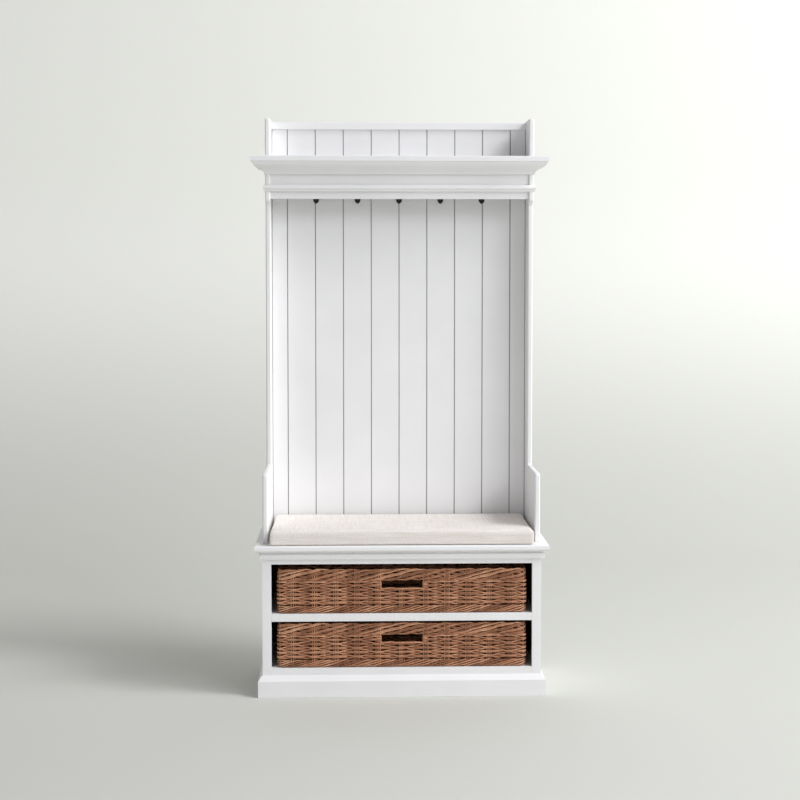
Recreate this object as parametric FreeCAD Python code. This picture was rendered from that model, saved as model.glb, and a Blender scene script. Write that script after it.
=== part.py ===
import FreeCAD, Part
import math
import os

V = FreeCAD.Vector

os.makedirs("parts", exist_ok=True)

# Hall tree with a bench, two basket bays, a boarded back, a hook pelmet and a top shelf.
# Millimetres. X runs across, Y runs from the front to the back, Z is up.
# The origin is the middle of the footprint of the whole object, on the floor.

# ---- overall sizes ----
HEIGHT = 2000.0            # floor to the top of the side panels' ears
DEPTH = 400.0              # bench nose to the back
BODY_WIDTH = 956.0         # over the outsides of the side panels

# ---- board thicknesses ----
PANEL = 18.0               # side panels, stiles, rails and shelves
BACK_PANEL = 9.0           # thin panel that closes the cabinet's back
BOARD = 13.0               # tongue-and-groove boards of the back
FRIEZE = 16.0              # pelmet board that hides the hooks

# ---- cabinet under the bench ----
PLINTH_HEIGHT = 73.5
PLINTH_THICKNESS = 15.0
PLINTH_BEVEL_HEIGHT = 18.0
PLINTH_BEVEL_DEPTH = 12.5
STILE_WIDTH = 31.0
BOTTOM_RAIL_HEIGHT = 60.0
BOTTOM_RAIL_SHOWN = 25.0   # how far the bottom rail stands above the plinth
LOWER_BAY_HEIGHT = 160.5
MIDDLE_RAIL_HEIGHT = 26.5
UPPER_BAY_HEIGHT = 171.0
TOP_RAIL_HEIGHT = 45.0
CORNER_BLOCK = 40.0        # side of the square glue blocks in the plinth
BACK_PANEL_LIFT = 20.0     # the back panel stays this far off the floor

# ---- bench ----
BENCH_THICKNESS = 21.0
BENCH_OVERHANG = 26.0
BENCH_TOP_ROUND = 6.0
BENCH_BOTTOM_ROUND = 8.0
BED_HEIGHT = 26.5          # moulding under the bench
BED_FACE_HEIGHT = 15.0
BED_PROJECTION = 10.0
BED_NECK = 4.0
BED_ROUND = 4.0

# ---- side panels above the bench ----
ARM_HEIGHT = 238.0         # arm top above the bench
ARM_SETBACK = 64.0         # arm front behind the bench nose
UPRIGHT_WIDTH = 94.0       # main upright, front to back
EAR_STEP = 26.0            # how far the upper part stands forward of the upright
EAR_BOTTOM_BELOW_TOP = 286.0
PANEL_CORNER = 9.0         # rounding of the panel's outline at its corners
PANEL_INNER_CORNER = 7.0   # rounding of the inner corner where arm meets upright
PANEL_NOSE = 5.0           # rounding of the panel's front edges

# ---- boarded back ----
BOARD_COUNT = 10
BOARD_PITCH = 101.0
GROOVE_CHAMFER = 2.6
TONGUE_THICKNESS = 4.0
TONGUE_LENGTH = 6.0
TONGUE_CLEARANCE = 0.2
CAP_HEIGHT = 25.0
CAP_DEPTH = 23.0
CAP_ROUND = 3.0
CAP_BELOW_TOP = 5.5        # top of the cap rail under the top of the ears

# ---- pelmet, astragal, cornice and top shelf ----
SHELF_BELOW_TOP = 136.0    # top of the shelf under the top of the ears
SHELF_THICKNESS = 19.0
FRIEZE_RECESS = 8.0        # frieze face behind the ears' front edges
FRIEZE_HEIGHT = 130.0
CORNICE_HEIGHT = 62.0
CORNICE_PROJECTION = 48.0
CORNICE_LIP_ROUND = 3.0
CORNICE_LIP_STEP = 4.0     # the ogee starts this far behind the lip
CORNICE_FOOT = 3.0         # the ogee ends this far in front of the ears
CORNICE_BOW_OUT = 0.30     # where each half of the ogee bows, as shares of its width and height
CORNICE_BOW_UP = 0.38
ASTRAGAL_HEIGHT = 23.0
ASTRAGAL_PROJECTION = 8.0
ASTRAGAL_FOOT = 2.0        # the nose starts and ends this far in front of the ears
ASTRAGAL_TIP_SHARE = 0.42  # height of the nose's tip in the astragal
ASTRAGAL_HOLLOW_OUT = 0.38
ASTRAGAL_HOLLOW_UP = 0.70
ASTRAGAL_CROWN_OUT = 0.88
ASTRAGAL_CROWN_UP = 0.55
ASTRAGAL_ABOVE_FRIEZE_BOTTOM = 26.0
CLEAT = 20.0

# ---- coat hooks ----
HOOK_COUNT = 5
HOOK_PITCH = 150.0
HOOK_PLATE = 4.0
HOOK_PLATE_WIDTH = 16.0
HOOK_SPADE_WIDTH = 21.0
HOOK_PLATE_HEIGHT = 92.0
HOOK_BELOW_FRIEZE = 13.0   # how far the plate's point hangs under the frieze
HOOK_SHOULDER = 15.75      # the spade is widest this far above its point
HOOK_NECK = 7.35           # from there up to where the plate has its own width again
HOOK_SPADE_BOW_OUT = 0.72  # how the spade's lower edge bows, as shares of its width and height
HOOK_SPADE_BOW_UP = 0.36
HOOK_NECK_BOW = 0.40       # how far the spade's upper edge still bows out, as a share
LOWER_SCREW = 31.28        # screws, above the plate's point
UPPER_SCREW = 79.12
HOOK_ROOT = 46.0           # the prong leaves the plate this far above its point
HOOK_REACH = 36.0          # prong's centre line in front of the plate
HOOK_DIP = 6.3             # the prong's lowest point under its root
HOOK_RISE = 32.4           # the ball's centre above the root
HOOK_TIP_BACK = 2.88       # the ball leans back from the prong's front by this much
HOOK_START_SLOPE = 0.15
HOOK_END_SLOPE = 0.1
HOOK_ROD = 4.5             # prong's radius
HOOK_BALL = 7.5            # radius of the prong's end
SCREW_SHANK = 1.8
SCREW_HEAD = 3.6
SCREW_HEAD_HEIGHT = 2.0
HOOK_SCREW_LENGTH = 14.0

# ---- bolts that hold the upper part to the bench ----
BOLT_RADIUS = 3.0
BOLT_HEAD_RADIUS = 6.0
BOLT_HEAD_HEIGHT = 3.5
BOLT_LENGTH = 60.0
BOLT_FROM_ENDS = 45.0

# ---- baskets ----
BASKET_WIDTH = 860.0
BASKET_DEPTH = 340.0
BASKET_HEIGHT = 154.0
BASKET_SETBACK = 3.0       # basket front behind the cabinet's face
BASKET_WALL = 9.0
BASKET_BASE = 8.0
BASKET_CORNER = 24.0
BORDER_HEIGHT = 44.0
BORDER_WALL = 13.0
HANDLE_WIDTH = 142.0
HANDLE_HEIGHT = 24.0
REST_GAP = 0.3             # what lies loose rests this far off its seat

# ---- cushion ----
CUSHION_HEIGHT = 50.0
CUSHION_SIDE_GAP = 4.0     # to the side panels and the boarded back
CUSHION_SETBACK = 5.0      # cushion front behind the bench nose
CUSHION_ROUND = 14.0

# ---- places worked out from the sizes above ----
HALF_BODY = BODY_WIDTH / 2
HALF_INNER = HALF_BODY - PANEL
NOSE_Y = -DEPTH / 2
BACK_Y = DEPTH / 2
FACE_Y = NOSE_Y + BENCH_OVERHANG
FRAME_BACK_Y = FACE_Y + PANEL
PANEL_FACE_Y = BACK_Y - BACK_PANEL
BOARD_FACE_Y = BACK_Y - BOARD
UPRIGHT_Y = BACK_Y - UPRIGHT_WIDTH
EAR_Y = UPRIGHT_Y - EAR_STEP
ARM_Y = NOSE_Y + ARM_SETBACK
FRIEZE_Y = EAR_Y + FRIEZE_RECESS

LOWER_FLOOR_Z = PLINTH_HEIGHT + BOTTOM_RAIL_SHOWN
MIDDLE_RAIL_Z = LOWER_FLOOR_Z + LOWER_BAY_HEIGHT
UPPER_FLOOR_Z = MIDDLE_RAIL_Z + MIDDLE_RAIL_HEIGHT
TOP_RAIL_Z = UPPER_FLOOR_Z + UPPER_BAY_HEIGHT
BENCH_Z = TOP_RAIL_Z + TOP_RAIL_HEIGHT
SEAT_Z = BENCH_Z + BENCH_THICKNESS
ARM_Z = SEAT_Z + ARM_HEIGHT
EAR_Z = HEIGHT - EAR_BOTTOM_BELOW_TOP
CAP_TOP_Z = HEIGHT - CAP_BELOW_TOP
CAP_Z = CAP_TOP_Z - CAP_HEIGHT
SHELF_TOP_Z = HEIGHT - SHELF_BELOW_TOP
SHELF_Z = SHELF_TOP_Z - SHELF_THICKNESS
CORNICE_Z = SHELF_TOP_Z - CORNICE_HEIGHT
FRIEZE_Z = SHELF_Z - FRIEZE_HEIGHT
ASTRAGAL_Z = FRIEZE_Z + ASTRAGAL_ABOVE_FRIEZE_BOTTOM


def export(shape, name):
    """Writes one node's solid, or group of solids."""
    shape.exportStep(os.path.join("parts", name + ".step"))


def block(x0, x1, y0, y1, z0, z1):
    """A box from its lowest to its highest corner."""
    return Part.makeBox(x1 - x0, y1 - y0, z1 - z0, V(x0, y0, z0))


def prism(points, direction):
    """A flat outline of straight sides, drawn through the points and extruded."""
    return Part.Face(Part.makePolygon(points + points[:1])).extrude(direction)


def mirrored(shape):
    """The same shape on the other side of the middle plane."""
    return shape.mirror(V(0, 0, 0), V(1, 0, 0))


def is_at(value, target):
    return abs(value - target) < 0.01


def edges_where(shape, test):
    """The edges whose bounding box passes the test."""
    return [edge for edge in shape.Edges if test(edge.BoundBox)]


# ---- mouldings: a profile run along the front and down both sides, mitred at the corners ----

def moulding_front(edges, front_y, reach):
    """The front run. The edges are drawn in the plane x = 0, with y measured from the carcass face."""
    face = Part.Face(Part.Wire(edges))
    face.translate(V(-HALF_BODY - reach, front_y, 0))
    run = face.extrude(V(2 * (HALF_BODY + reach), 0, 0))
    plan = [
        V(-HALF_BODY - reach, front_y - reach, 0),
        V(HALF_BODY + reach, front_y - reach, 0),
        V(HALF_BODY, front_y, 0),
        V(-HALF_BODY, front_y, 0),
    ]
    return run.common(prism(plan, V(0, 0, HEIGHT)))


def moulding_right(edges, front_y, reach):
    """The right side's run, from its mitre to the back."""
    face = Part.Face(Part.Wire(edges))
    face.rotate(V(0, 0, 0), V(0, 0, 1), 90)
    face.translate(V(HALF_BODY, front_y - reach, 0))
    run = face.extrude(V(0, BACK_Y - front_y + reach, 0))
    plan = [
        V(HALF_BODY + reach, front_y - reach, 0),
        V(HALF_BODY + reach, BACK_Y, 0),
        V(HALF_BODY, BACK_Y, 0),
        V(HALF_BODY, front_y, 0),
    ]
    return run.common(prism(plan, V(0, 0, HEIGHT)))


def export_moulding(name, edges, front_y, reach):
    """Writes the two side runs and returns the front run, which some mouldings extend."""
    right = moulding_right(edges, front_y, reach)
    export(right, name + "_right")
    export(mirrored(right), name + "_left")
    return moulding_front(edges, front_y, reach)


def line(a, b):
    return Part.LineSegment(V(0, *a), V(0, *b)).toShape()


def arc(a, middle, b):
    return Part.Arc(V(0, *a), V(0, *middle), V(0, *b)).toShape()


def quarter(start, end, centre):
    """A quarter circle between two points of the plane x = 0, round the centre."""
    radius = math.hypot(start[0] - centre[0], start[1] - centre[1])
    half_way = ((start[0] + end[0]) / 2 - centre[0], (start[1] + end[1]) / 2 - centre[1])
    scale = radius / math.hypot(*half_way)
    middle = (centre[0] + half_way[0] * scale, centre[1] + half_way[1] * scale)
    return arc(start, middle, end)


# ---- plinth ----

def plinth_profile():
    top_y = -(PLINTH_THICKNESS - PLINTH_BEVEL_DEPTH)
    bevel_z = PLINTH_HEIGHT - PLINTH_BEVEL_HEIGHT
    points = [
        (0, 0),
        (-PLINTH_THICKNESS, 0),
        (-PLINTH_THICKNESS, bevel_z),
        (top_y, PLINTH_HEIGHT),
        (0, PLINTH_HEIGHT),
    ]
    return [line(a, b) for a, b in zip(points, points[1:] + points[:1])]


def make_plinth():
    export(export_moulding("plinth", plinth_profile(), FACE_Y, PLINTH_THICKNESS), "plinth_front")


def make_plinth_inside():
    """Rear rail and glue blocks that carry the bottom board."""
    under_board = LOWER_FLOOR_Z - PANEL
    rail_y = PANEL_FACE_Y - PANEL
    export(block(-HALF_INNER, HALF_INNER, rail_y, PANEL_FACE_Y, 0, under_board), "plinth_back_rail")
    inner = HALF_INNER - CORNER_BLOCK
    front = block(inner, HALF_INNER, FRAME_BACK_Y, FRAME_BACK_Y + CORNER_BLOCK, 0, under_board)
    rear = block(inner, HALF_INNER, rail_y - CORNER_BLOCK, rail_y, 0, under_board)
    export(Part.makeCompound([front, mirrored(front), rear, mirrored(rear)]), "plinth_corner_blocks")


# ---- cabinet ----

def make_cabinet_sides():
    right = block(HALF_INNER, HALF_BODY, FRAME_BACK_Y, BACK_Y, 0, BENCH_Z)
    export(right, "cabinet_side_right")
    export(mirrored(right), "cabinet_side_left")


def make_face_frame():
    """Two stiles that run through, with three rails between them."""
    inner = HALF_BODY - STILE_WIDTH
    right = block(inner, HALF_BODY, FACE_Y, FRAME_BACK_Y, 0, BENCH_Z)
    export(right, "stile_right")
    export(mirrored(right), "stile_left")
    rails = {
        "bottom_rail": (LOWER_FLOOR_Z - BOTTOM_RAIL_HEIGHT, LOWER_FLOOR_Z),
        "middle_rail": (MIDDLE_RAIL_Z, UPPER_FLOOR_Z),
        "top_rail": (TOP_RAIL_Z, BENCH_Z),
    }
    for name, (z0, z1) in rails.items():
        export(block(-inner, inner, FACE_Y, FRAME_BACK_Y, z0, z1), name)


def make_cabinet_boards():
    for name, top in (("bottom_board", LOWER_FLOOR_Z), ("middle_shelf", UPPER_FLOOR_Z)):
        export(block(-HALF_INNER, HALF_INNER, FRAME_BACK_Y, PANEL_FACE_Y, top - PANEL, top), name)
    back = block(-HALF_INNER, HALF_INNER, PANEL_FACE_Y, BACK_Y, BACK_PANEL_LIFT, BENCH_Z)
    export(back, "cabinet_back_panel")


# ---- bench ----

def bolt_places():
    """Two bolts up into the bottom edge of each side panel."""
    x = HALF_BODY - PANEL / 2
    ends = (ARM_Y + BOLT_FROM_ENDS, BACK_Y - BOLT_FROM_ENDS)
    return [(side * x, y) for side in (-1, 1) for y in ends]


def bolt(x, y):
    """A bolt with its head sunk flush into the underside of the bench top."""
    shank = Part.makeCylinder(BOLT_RADIUS, BOLT_LENGTH, V(x, y, BENCH_Z))
    head = Part.makeCylinder(BOLT_HEAD_RADIUS, BOLT_HEAD_HEIGHT, V(x, y, BENCH_Z))
    return shank.fuse(head).removeSplitter()


def make_bench_top():
    half = HALF_BODY + BENCH_OVERHANG
    top = block(-half, half, NOSE_Y, BACK_Y, BENCH_Z, SEAT_Z)

    def outer(box):
        at_front = is_at(box.YMax, NOSE_Y)
        at_side = is_at(box.XMin, box.XMax) and is_at(abs(box.XMin), half)
        return at_front or at_side

    upper = edges_where(top, lambda box: outer(box) and is_at(box.ZMin, SEAT_Z))
    top = top.makeFillet(BENCH_TOP_ROUND, upper)
    lower = edges_where(top, lambda box: outer(box) and is_at(box.ZMax, BENCH_Z))
    top = top.makeFillet(BENCH_BOTTOM_ROUND, lower)
    for x, y in bolt_places():
        top = top.cut(bolt(x, y))
    export(top, "bench_top")


def make_bench_bolts():
    export(Part.makeCompound([bolt(x, y) for x, y in bolt_places()]), "bench_bolts")


def bed_profile():
    """A flat face with a rounded top edge that steps back to a narrow neck under the bench."""
    z0 = BENCH_Z - BED_HEIGHT
    z1 = z0 + BED_FACE_HEIGHT
    out = -BED_PROJECTION
    neck = -BED_NECK
    round_z = z1 + BED_ROUND
    return [
        line((0, z0), (out, z0)),
        line((out, z0), (out, z1)),
        quarter((out, z1), (out + BED_ROUND, round_z), (out + BED_ROUND, z1)),
        line((out + BED_ROUND, round_z), (neck, round_z)),
        line((neck, round_z), (neck, BENCH_Z)),
        line((neck, BENCH_Z), (0, BENCH_Z)),
        line((0, BENCH_Z), (0, z0)),
    ]


def make_bed_moulding():
    export(export_moulding("bed_moulding", bed_profile(), FACE_Y, BED_PROJECTION), "bed_moulding_front")


# ---- side panels above the bench ----

def upright_profile():
    """The outline of a side panel: arm, upright, ogee step, ear and back edge."""
    r = PANEL_CORNER
    q = PANEL_INNER_CORNER
    s = EAR_STEP / 2
    ogee_z = EAR_Z - EAR_STEP
    return [
        line((BACK_Y, SEAT_Z), (ARM_Y, SEAT_Z)),
        line((ARM_Y, SEAT_Z), (ARM_Y, ARM_Z - r)),
        quarter((ARM_Y, ARM_Z - r), (ARM_Y + r, ARM_Z), (ARM_Y + r, ARM_Z - r)),
        line((ARM_Y + r, ARM_Z), (UPRIGHT_Y - q, ARM_Z)),
        quarter((UPRIGHT_Y - q, ARM_Z), (UPRIGHT_Y, ARM_Z + q), (UPRIGHT_Y - q, ARM_Z + q)),
        line((UPRIGHT_Y, ARM_Z + q), (UPRIGHT_Y, ogee_z)),
        quarter((UPRIGHT_Y, ogee_z), (UPRIGHT_Y - s, ogee_z + s), (UPRIGHT_Y - s, ogee_z)),
        quarter((UPRIGHT_Y - s, ogee_z + s), (EAR_Y, EAR_Z), (UPRIGHT_Y - s, EAR_Z)),
        line((EAR_Y, EAR_Z), (EAR_Y, HEIGHT - r)),
        quarter((EAR_Y, HEIGHT - r), (EAR_Y + r, HEIGHT), (EAR_Y + r, HEIGHT - r)),
        line((EAR_Y + r, HEIGHT), (BACK_Y, HEIGHT)),
        line((BACK_Y, HEIGHT), (BACK_Y, SEAT_Z)),
    ]


def make_uprights():
    face = Part.Face(Part.Wire(upright_profile()))
    face.translate(V(HALF_INNER, 0, 0))
    panel = face.extrude(V(PANEL, 0, 0))

    def rounded(box):
        on_a_face = is_at(box.XMin, box.XMax)
        on_the_bench = is_at(box.ZMax, SEAT_Z)
        on_the_back = is_at(box.YMin, BACK_Y)
        return on_a_face and not on_the_bench and not on_the_back

    panel = panel.makeFillet(PANEL_NOSE, edges_where(panel, rounded))
    for x, y in bolt_places():
        panel = panel.cut(bolt(x, y))
    export(panel, "upright_right")
    export(mirrored(panel), "upright_left")


# ---- boarded back ----

def board_profile(left, right, has_groove, has_tongue):
    """Section of one board in plan, with a chamfer on both front edges."""
    front = BOARD_FACE_Y
    middle = (front + BACK_Y) / 2
    t = TONGUE_THICKNESS / 2
    g = t + TONGUE_CLEARANCE
    c = GROOVE_CHAMFER
    points = [V(left + c, front, 0), V(right - c, front, 0), V(right, front + c, 0)]
    if has_tongue:
        points += [
            V(right, middle - t, 0),
            V(right + TONGUE_LENGTH, middle - t, 0),
            V(right + TONGUE_LENGTH, middle + t, 0),
            V(right, middle + t, 0),
        ]
    points += [V(right, BACK_Y, 0), V(left, BACK_Y, 0)]
    if has_groove:
        points += [
            V(left, middle + g, 0),
            V(left + TONGUE_LENGTH + TONGUE_CLEARANCE, middle + g, 0),
            V(left + TONGUE_LENGTH + TONGUE_CLEARANCE, middle - g, 0),
            V(left, middle - g, 0),
        ]
    points.append(V(left, front + c, 0))
    return points


def make_back_boards():
    """Boards side by side between the side panels. The two end boards are cut to fit."""
    joints = [BOARD_PITCH * (i - BOARD_COUNT / 2) for i in range(1, BOARD_COUNT)]
    ends = [-HALF_INNER] + joints + [HALF_INNER]
    for i in range(BOARD_COUNT):
        points = board_profile(ends[i], ends[i + 1], i > 0, i < BOARD_COUNT - 1)
        board = prism(points, V(0, 0, CAP_Z - SEAT_Z))
        board.translate(V(0, 0, SEAT_Z))
        for x in hook_places():
            for screw in hook_screws(x):
                board = board.cut(screw)
        export(board, "back_board_%02d" % (i + 1))


def make_cap_rail():
    front = BACK_Y - CAP_DEPTH
    rail = block(-HALF_INNER, HALF_INNER, front, BACK_Y, CAP_Z, CAP_TOP_Z)
    front_edge = edges_where(rail, lambda box: is_at(box.YMax, front) and is_at(box.ZMin, CAP_TOP_Z))
    rail = rail.makeFillet(CAP_ROUND, front_edge)
    export(rail, "cap_rail")


# ---- pelmet, astragal, cornice and top shelf ----

def make_top_shelf():
    export(block(-HALF_INNER, HALF_INNER, EAR_Y, BOARD_FACE_Y, SHELF_Z, SHELF_TOP_Z), "top_shelf")
    behind_frieze = FRIEZE_Y + FRIEZE
    cleat = block(HALF_INNER - CLEAT, HALF_INNER, behind_frieze, BOARD_FACE_Y, SHELF_Z - CLEAT, SHELF_Z)
    export(Part.makeCompound([cleat, mirrored(cleat)]), "shelf_cleats")


def make_frieze():
    export(block(-HALF_INNER, HALF_INNER, FRIEZE_Y, FRIEZE_Y + FRIEZE, FRIEZE_Z, SHELF_Z), "frieze_board")


def cornice_profile():
    """A flat lip over an ogee: round under the lip, hollow where it meets the ears."""
    lip_z = SHELF_Z
    out = -CORNICE_PROJECTION
    r = CORNICE_LIP_ROUND
    top_y = out + CORNICE_LIP_STEP
    foot_y = -CORNICE_FOOT
    middle = ((top_y + foot_y) / 2, (lip_z + CORNICE_Z) / 2)
    bow_y = CORNICE_BOW_OUT * (foot_y - top_y) / 2
    bow_z = CORNICE_BOW_UP * (lip_z - CORNICE_Z) / 2
    upper_bow = (top_y + bow_y, middle[1] + bow_z)
    lower_bow = (foot_y - bow_y, middle[1] - bow_z)
    return [
        line((0, CORNICE_Z), (foot_y, CORNICE_Z)),
        arc((foot_y, CORNICE_Z), lower_bow, middle),
        arc(middle, upper_bow, (top_y, lip_z)),
        line((top_y, lip_z), (out, lip_z)),
        line((out, lip_z), (out, SHELF_TOP_Z - r)),
        quarter((out, SHELF_TOP_Z - r), (out + r, SHELF_TOP_Z), (out + r, SHELF_TOP_Z - r)),
        line((out + r, SHELF_TOP_Z), (0, SHELF_TOP_Z)),
        line((0, SHELF_TOP_Z), (0, CORNICE_Z)),
    ]


def make_cornice():
    export(export_moulding("cornice", cornice_profile(), EAR_Y, CORNICE_PROJECTION), "cornice_front")
    backing = block(-HALF_INNER, HALF_INNER, EAR_Y, FRIEZE_Y, CORNICE_Z, SHELF_Z)
    export(backing, "cornice_backing_rail")


def astragal_profile():
    """A nose with a sloped top and a hollow underneath."""
    z1 = ASTRAGAL_Z + ASTRAGAL_HEIGHT
    tip_z = ASTRAGAL_Z + ASTRAGAL_TIP_SHARE * ASTRAGAL_HEIGHT
    out = -ASTRAGAL_PROJECTION
    foot = -ASTRAGAL_FOOT
    hollow_y = foot + ASTRAGAL_HOLLOW_OUT * (out - foot)
    hollow_z = ASTRAGAL_Z + ASTRAGAL_HOLLOW_UP * (tip_z - ASTRAGAL_Z)
    hollow = (hollow_y, hollow_z)
    crown = (ASTRAGAL_CROWN_OUT * out, tip_z + ASTRAGAL_CROWN_UP * (z1 - tip_z))
    return [
        line((0, ASTRAGAL_Z), (foot, ASTRAGAL_Z)),
        arc((foot, ASTRAGAL_Z), hollow, (out, tip_z)),
        arc((out, tip_z), crown, (foot, z1)),
        line((foot, z1), (0, z1)),
        line((0, z1), (0, ASTRAGAL_Z)),
    ]


def make_astragal():
    """The front run is one batten that also fills the space between the ears, back to the frieze."""
    front = export_moulding("astragal", astragal_profile(), EAR_Y, ASTRAGAL_PROJECTION)
    z1 = ASTRAGAL_Z + ASTRAGAL_HEIGHT
    batten = block(-HALF_INNER, HALF_INNER, EAR_Y, FRIEZE_Y, ASTRAGAL_Z, z1)
    export(front.fuse(batten).removeSplitter(), "astragal_front")


# ---- coat hooks ----

def hook_places():
    return [HOOK_PITCH * (i - (HOOK_COUNT - 1) / 2) for i in range(HOOK_COUNT)]


def hook_tip_z():
    return FRIEZE_Z - HOOK_BELOW_FRIEZE


def hook_screw_heights():
    bottom = hook_tip_z()
    return (bottom + LOWER_SCREW, bottom + UPPER_SCREW)


def hook_plate():
    """A narrow plate with a spade-shaped point at its bottom and a rounded top, centred on x = 0."""
    tip = hook_tip_z()
    half = HOOK_PLATE_WIDTH / 2
    spade = HOOK_SPADE_WIDTH / 2
    shoulder = tip + HOOK_SHOULDER
    neck = shoulder + HOOK_NECK
    lower_bow_x = HOOK_SPADE_BOW_OUT * spade
    lower_bow_z = tip + HOOK_SPADE_BOW_UP * HOOK_SHOULDER
    upper_bow_x = half + HOOK_NECK_BOW * (spade - half)
    upper_bow_z = (shoulder + neck) / 2
    top = tip + HOOK_PLATE_HEIGHT
    y = BOARD_FACE_Y - HOOK_PLATE

    def side(sign):
        return [
            Part.Arc(
                V(0, y, tip),
                V(sign * lower_bow_x, y, lower_bow_z),
                V(sign * spade, y, shoulder),
            ).toShape(),
            Part.Arc(
                V(sign * spade, y, shoulder),
                V(sign * upper_bow_x, y, upper_bow_z),
                V(sign * half, y, neck),
            ).toShape(),
            Part.LineSegment(V(sign * half, y, neck), V(sign * half, y, top - half)).toShape(),
        ]

    crown = Part.Arc(V(half, y, top - half), V(0, y, top), V(-half, y, top - half)).toShape()
    outline = Part.Wire(Part.__sortEdges__(side(1) + [crown] + side(-1)))
    return Part.Face(outline).extrude(V(0, HOOK_PLATE, 0))


def hook_prong():
    """A round rod that leaves the plate, dips forward and rises to a ball."""
    plate_y = BOARD_FACE_Y - HOOK_PLATE
    root_z = hook_tip_z() + HOOK_ROOT
    reach_y = plate_y - HOOK_REACH
    bend = HOOK_REACH / 2
    low_z = root_z - HOOK_DIP
    leaving = V(0, -1, -HOOK_START_SLOPE)
    arriving = V(0, HOOK_END_SLOPE, 1)
    start = V(0, BOARD_FACE_Y - HOOK_PLATE / 2, root_z)
    bottom = V(0, plate_y - bend, low_z)
    front = V(0, reach_y, low_z + bend)
    tip = V(0, reach_y + HOOK_TIP_BACK, root_z + HOOK_RISE)
    path = Part.BSplineCurve()
    path.interpolate([start, bottom, front, tip], InitialTangent=leaving, FinalTangent=arriving)
    ring = Part.Wire([Part.Circle(start, leaving, HOOK_ROD).toShape()])
    rod = Part.Wire([path.toShape()]).makePipeShell([ring], True, True)
    ball = Part.makeSphere(HOOK_BALL, tip)
    return rod.fuse(ball)


def hook_screws(x):
    """Two countersunk screws through a plate into the boards."""
    screws = []
    plate_y = BOARD_FACE_Y - HOOK_PLATE
    for z in hook_screw_heights():
        head = Part.makeCone(SCREW_HEAD, SCREW_SHANK, SCREW_HEAD_HEIGHT, V(x, plate_y, z), V(0, 1, 0))
        shank = Part.makeCylinder(SCREW_SHANK, HOOK_SCREW_LENGTH, V(x, plate_y, z), V(0, 1, 0))
        screws.append(head.fuse(shank).removeSplitter())
    return screws


def make_hooks():
    casting = hook_plate().fuse(hook_prong()).removeSplitter()
    for screw in hook_screws(0):
        casting = casting.cut(screw)
    screws = []
    for i, x in enumerate(hook_places()):
        hook = casting.copy()
        hook.translate(V(x, 0, 0))
        export(hook, "coat_hook_%d" % (i + 1))
        screws += hook_screws(x)
    export(Part.makeCompound(screws), "hook_screws")


# ---- baskets ----

def rounded_block(half_x, y0, y1, z0, z1, radius):
    """A box with its upright edges rounded."""
    solid = block(-half_x, half_x, y0, y1, z0, z1)
    upright_edges = edges_where(solid, lambda box: is_at(box.XMin, box.XMax) and is_at(box.YMin, box.YMax))
    return solid.makeFillet(radius, upright_edges)


def basket_ring(inset, wall, z0, z1):
    """A wall of even thickness all round, inset from the basket's outside."""
    y0 = FACE_Y + BASKET_SETBACK + inset
    y1 = FACE_Y + BASKET_SETBACK + BASKET_DEPTH - inset
    half = BASKET_WIDTH / 2 - inset
    outside = rounded_block(half, y0, y1, z0, z1, BASKET_CORNER - inset)
    inside = rounded_block(half - wall, y0 + wall, y1 - wall, z0, z1, BASKET_CORNER - inset - wall)
    return outside.cut(inside)


def make_basket(name, floor_z):
    """A woven base, four woven walls with a hand hole in the front, and a plaited border."""
    inset = (BORDER_WALL - BASKET_WALL) / 2
    base_z = floor_z + REST_GAP
    wall_z = base_z + BASKET_BASE
    border_z = base_z + BASKET_HEIGHT - BORDER_HEIGHT
    y0 = FACE_Y + BASKET_SETBACK
    y1 = y0 + BASKET_DEPTH
    half = BASKET_WIDTH / 2 - inset
    base = rounded_block(half, y0 + inset, y1 - inset, base_z, wall_z, BASKET_CORNER - inset)
    export(base, name + "_base")
    walls = basket_ring(inset, BASKET_WALL, wall_z, border_z)
    hand = HANDLE_WIDTH / 2
    hole = block(-hand, hand, y0, y0 + BORDER_WALL, border_z - HANDLE_HEIGHT, border_z)
    export(walls.cut(hole), name + "_walls")
    export(basket_ring(0, BORDER_WALL, border_z, base_z + BASKET_HEIGHT), name + "_border")


def make_baskets():
    make_basket("basket_upper", UPPER_FLOOR_Z)
    make_basket("basket_lower", LOWER_FLOOR_Z)


# ---- cushion ----

def make_cushion():
    half = HALF_INNER - CUSHION_SIDE_GAP
    z0 = SEAT_Z + REST_GAP
    y0 = NOSE_Y + CUSHION_SETBACK
    y1 = BOARD_FACE_Y - CUSHION_SIDE_GAP
    cushion = block(-half, half, y0, y1, z0, z0 + CUSHION_HEIGHT)
    export(cushion.makeFillet(CUSHION_ROUND, cushion.Edges), "seat_cushion")


make_plinth()
make_plinth_inside()
make_cabinet_sides()
make_face_frame()
make_cabinet_boards()
make_bench_top()
make_bench_bolts()
make_bed_moulding()
make_uprights()
make_back_boards()
make_cap_rail()
make_top_shelf()
make_frieze()
make_cornice()
make_astragal()
make_hooks()
make_baskets()
make_cushion()
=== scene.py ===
# %% [markdown]
# # A white hall tree with two rattan baskets
#
# The real object is a painted entryway unit: a low cabinet on a plinth with two woven baskets, a
# bench with a loose linen cushion, and a panelled back between two shaped sides, with black coat
# hooks behind a pelmet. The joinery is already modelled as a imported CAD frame. This lesson loads
# it, eases and paints its boards, weaves the baskets, fills the cushion and lights the whole.

# %% Load the frame and measure it
import math
import random

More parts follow.
